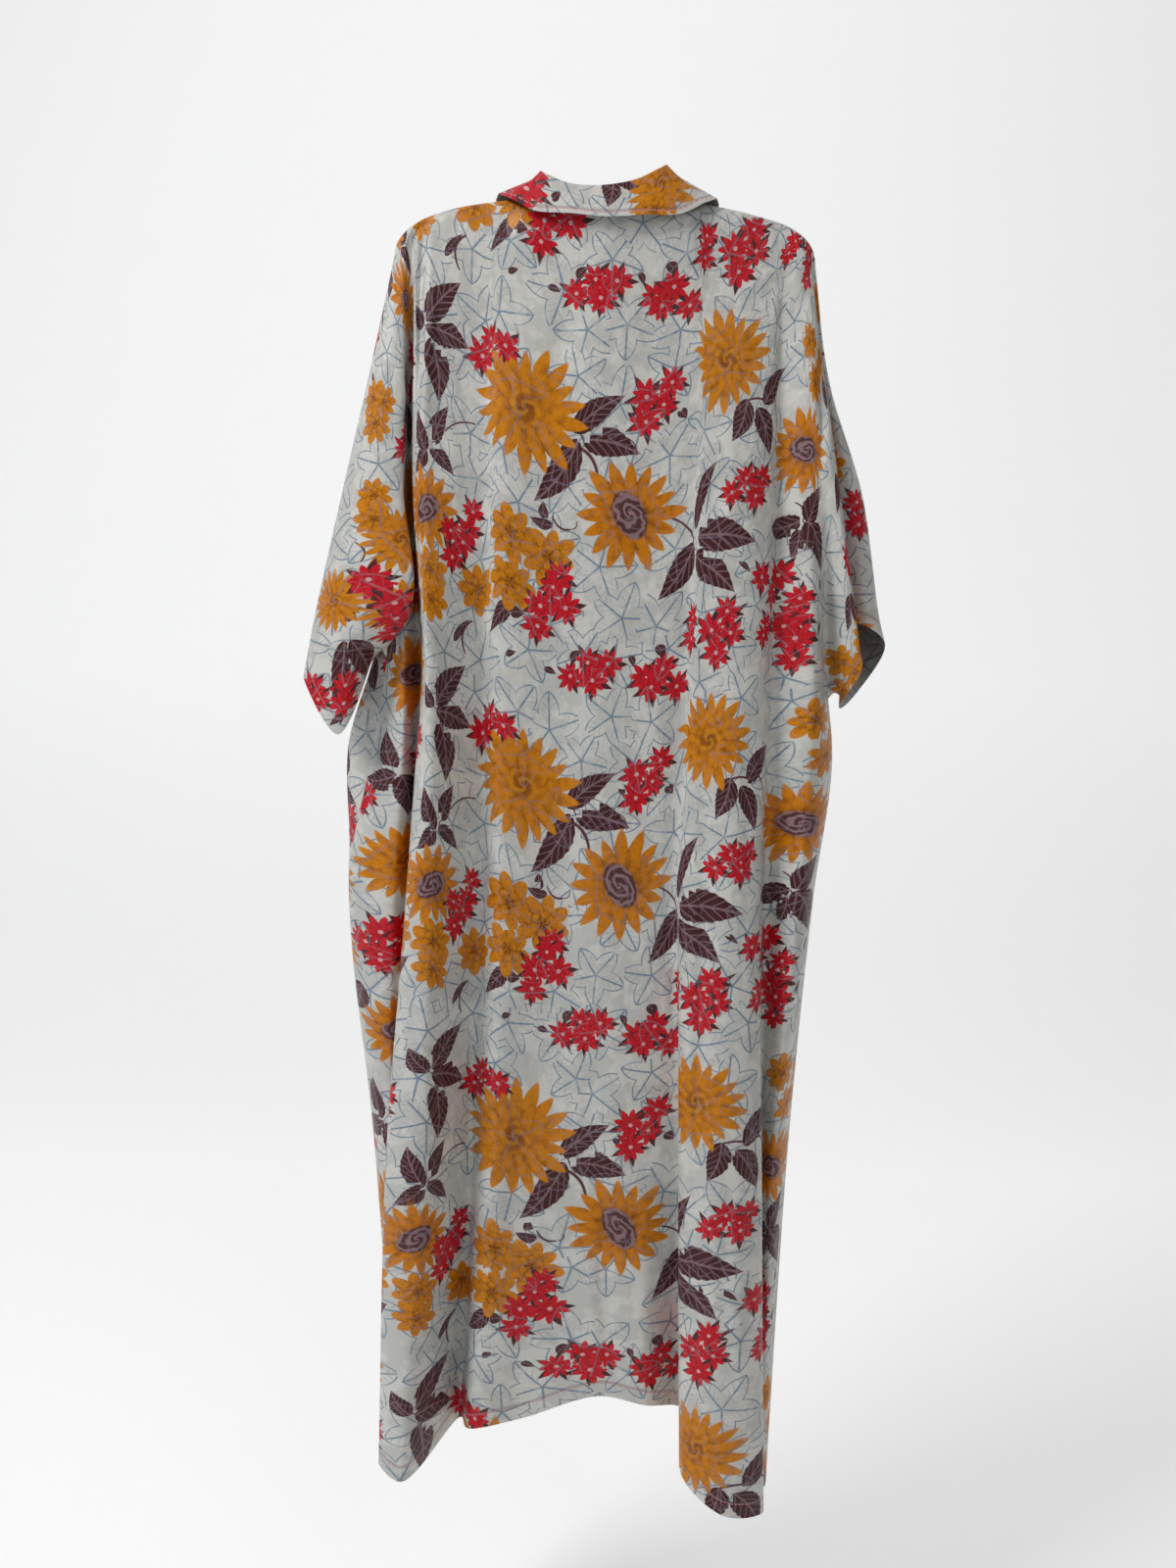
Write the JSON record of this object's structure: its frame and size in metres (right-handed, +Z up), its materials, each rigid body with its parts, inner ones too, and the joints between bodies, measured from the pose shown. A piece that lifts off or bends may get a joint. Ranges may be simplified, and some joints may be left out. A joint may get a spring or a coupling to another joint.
{
  "type": "kaftan",
  "caption": "Long loose collared kaftan with wide elbow-length sleeves in printed satin, hanging hollow from its shoulders.",
  "frame": {"origin": "in the middle of the neck opening, level with the shoulder seams, where the garment is held up", "axes": "+Z up along the hang, +Y out of the front (the thinnest way through), +X towards the wearer's right, which is on the right when the back is looked at"},
  "size_m": [0.6442, 0.2212, 1.4934],
  "materials": {
    "printed_satin": "silky satin with a woven tonal pattern and a large flower print",
    "button": "polished pale plastic with four holes"
  },
  "bodies": {
    "root": {"back": "printed_satin", "front": "printed_satin", "collar": "printed_satin", "placket": "printed_satin", "button_1": "button", "button_2": "button", "button_3": "button"}
  },
  "joints": []
}
